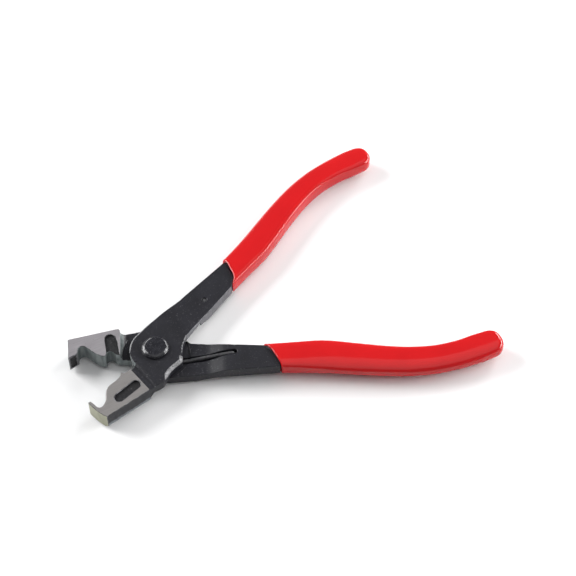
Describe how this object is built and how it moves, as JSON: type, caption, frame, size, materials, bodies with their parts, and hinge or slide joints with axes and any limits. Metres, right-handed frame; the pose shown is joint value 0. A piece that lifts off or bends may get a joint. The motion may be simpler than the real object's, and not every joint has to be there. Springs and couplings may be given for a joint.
{
  "type": "hose clamp pliers",
  "caption": "Lap-joint pliers for click-type hose clamps, with hooked ground jaws, a hidden return spring and dipped vinyl grips.",
  "frame": {"origin": "centre of the rivet's rear head, on the pivot axis, in the plane that the tool rests on", "axes": "+X along the bisector of the open handles, away from the jaws; +Z along the pivot axis, towards the front lever; +Y towards the front lever's handle"},
  "size_m": [0.1632, 0.1263, 0.011],
  "materials": {
    "lever_steel": "black oxide, with ground jaw faces",
    "rivet_steel": "black oxide, satin",
    "spring_wire": "oiled dark spring wire",
    "grip_vinyl": "glossy dipped vinyl"
  },
  "bodies": {
    "rear_half": {"lever_rear": "lever_steel", "grip_rear": "grip_vinyl", "pivot_rivet": "rivet_steel", "return_spring": "spring_wire"},
    "front_half": {"lever_front": "lever_steel", "grip_front": "grip_vinyl"}
  },
  "joints": [
    {"name": "pivot", "type": "hinge", "parent": "rear_half", "child": "front_half", "pos_m": [0, 0, 0.0055], "axis": [0, 0, -1], "range_deg": [0, 28], "stiffness_Nm_per_rad": 1.2, "springref_deg": -20.05, "deforming": ["return_spring"]}
  ]
}
